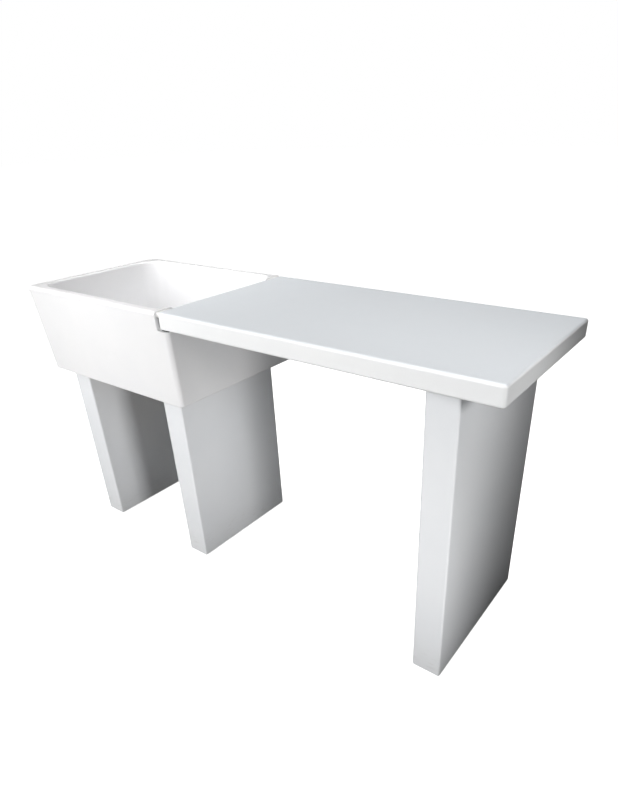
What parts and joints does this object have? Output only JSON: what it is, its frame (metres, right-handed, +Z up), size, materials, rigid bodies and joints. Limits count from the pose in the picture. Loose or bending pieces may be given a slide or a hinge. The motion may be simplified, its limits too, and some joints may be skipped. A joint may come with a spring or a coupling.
{
  "type": "manicure table",
  "caption": "White moulded manicure table: deep open basin with a waste at one end, flat worktop let into its rim, slab legs on levelling feet.",
  "frame": {"origin": "on the floor, under the middle of the table's length and depth", "axes": "+X along the table from the basin to the free end of the worktop, +Y from the front to the back, +Z up"},
  "size_m": [1.4331, 0.4534, 0.76],
  "materials": {
    "basin_white": "satin cast mineral resin",
    "moulded_white": "satin moulded white",
    "leg_white": "satin moulded white",
    "cap_plastic": "matt moulded grey",
    "underside_sheet": "matt laminate",
    "board_wood": "raw plywood",
    "hardwood": "planed hardwood",
    "frame_steel": "powder coated",
    "zinc_steel": "zinc plated",
    "insert_brass": "turned",
    "foot_rubber": "matt moulded",
    "seal_rubber": "matt",
    "waste_chrome": "polished",
    "nut_brass": "turned"
  },
  "bodies": {
    "table": {"basin_base_board": "board_wood", "basin_board_inserts": "insert_brass", "basin_leg_bolts": "zinc_steel", "basin_shell": "basin_white", "left_leg_end_cap": "cap_plastic", "left_leg_frame": "frame_steel", "left_leg_sleeve": "leg_white", "leg_bolt_washers": "zinc_steel", "locating_dowels": "hardwood", "middle_leg_end_cap": "cap_plastic", "middle_leg_frame": "frame_steel", "middle_leg_sleeve": "leg_white", "rebate_seal": "seal_rubber", "right_leg_end_cap": "cap_plastic", "right_leg_frame": "frame_steel", "right_leg_sleeve": "leg_white", "waste_backnut": "nut_brass", "waste_body": "waste_chrome", "waste_flange_gasket": "seal_rubber", "waste_lower_gasket": "seal_rubber", "worktop_base_sheet": "underside_sheet", "worktop_core": "board_wood", "worktop_core_inserts": "insert_brass", "worktop_leg_bolts": "zinc_steel", "worktop_shell": "moulded_white"},
    "left_back_foot": {"left_back_foot_pad": "foot_rubber", "left_back_foot_stud": "zinc_steel"},
    "left_front_foot": {"left_front_foot_pad": "foot_rubber", "left_front_foot_stud": "zinc_steel"},
    "middle_back_foot": {"middle_back_foot_pad": "foot_rubber", "middle_back_foot_stud": "zinc_steel"},
    "middle_front_foot": {"middle_front_foot_pad": "foot_rubber", "middle_front_foot_stud": "zinc_steel"},
    "right_back_foot": {"right_back_foot_pad": "foot_rubber", "right_back_foot_stud": "zinc_steel"},
    "right_front_foot": {"right_front_foot_pad": "foot_rubber", "right_front_foot_stud": "zinc_steel"},
    "plug": {"waste_plug": "waste_chrome", "waste_plug_seal": "seal_rubber"}
  },
  "joints": [
    {"name": "plug_lift", "type": "slide", "parent": "table", "child": "plug", "axis": [0, 0, 1], "range_m": [0, 0.01]},
    {"name": "left_back_foot_screw", "type": "slide", "parent": "table", "child": "left_back_foot", "axis": [0, 0, -1], "range_m": [0, 0.012]},
    {"name": "left_front_foot_screw", "type": "slide", "parent": "table", "child": "left_front_foot", "axis": [0, 0, -1], "range_m": [0, 0.012]},
    {"name": "middle_back_foot_screw", "type": "slide", "parent": "table", "child": "middle_back_foot", "axis": [0, 0, -1], "range_m": [0, 0.012]},
    {"name": "middle_front_foot_screw", "type": "slide", "parent": "table", "child": "middle_front_foot", "axis": [0, 0, -1], "range_m": [0, 0.012]},
    {"name": "right_back_foot_screw", "type": "slide", "parent": "table", "child": "right_back_foot", "axis": [0, 0, -1], "range_m": [0, 0.012]},
    {"name": "right_front_foot_screw", "type": "slide", "parent": "table", "child": "right_front_foot", "axis": [0, 0, -1], "range_m": [0, 0.012]}
  ]
}
